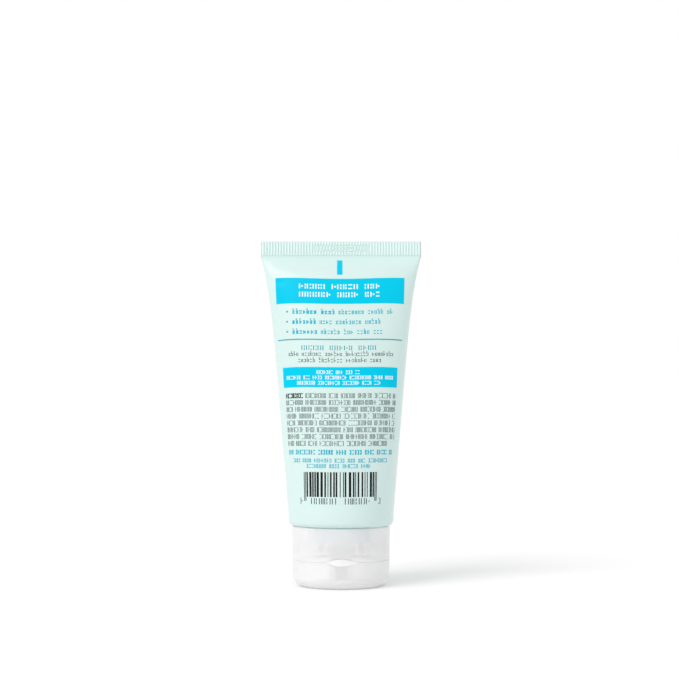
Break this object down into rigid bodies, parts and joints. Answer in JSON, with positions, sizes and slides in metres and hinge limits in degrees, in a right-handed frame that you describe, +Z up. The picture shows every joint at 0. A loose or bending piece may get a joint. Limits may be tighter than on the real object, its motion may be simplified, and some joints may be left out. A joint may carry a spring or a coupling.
{
  "type": "squeeze tube with flip-top cap",
  "caption": "Plastic squeeze tube for shaving cream, with a ribbed end seal, standing on a press-on cap whose foot is a hinged flip-top lid.",
  "frame": {"origin": "middle of the closed lid's flat foot, which the tube stands on", "axes": "+Z up the tube from the cap to the end seal, +X along the end seal, -Y towards the printed back face and the cap's hinge"},
  "size_m": [0.0622, 0.04, 0.132],
  "materials": {
    "sleeve_plastic": "soft satin mint polyethylene with printed blue panels",
    "head_plastic": "plain mint polyethylene",
    "cream": "white cream",
    "cap_plastic": "milky natural polypropylene, satin",
    "lid_plastic": "milky natural polypropylene, satin"
  },
  "bodies": {
    "tube": {"sleeve": "sleeve_plastic", "tube_head": "head_plastic", "shaving_cream": "cream"},
    "cap": {"cap_base": "cap_plastic", "hinge_film": "lid_plastic"},
    "lid": {"flip_lid": "lid_plastic"}
  },
  "joints": [
    {"name": "cap_pull_off", "type": "slide", "parent": "tube", "child": "cap", "axis": [0, 0, -1], "range_m": [0, 0.025]},
    {"name": "lid_hinge", "type": "hinge", "parent": "cap", "child": "lid", "pos_m": [0, -0.0175, 0.01], "axis": [-1, 0, 0], "range_deg": [0, 105]}
  ]
}
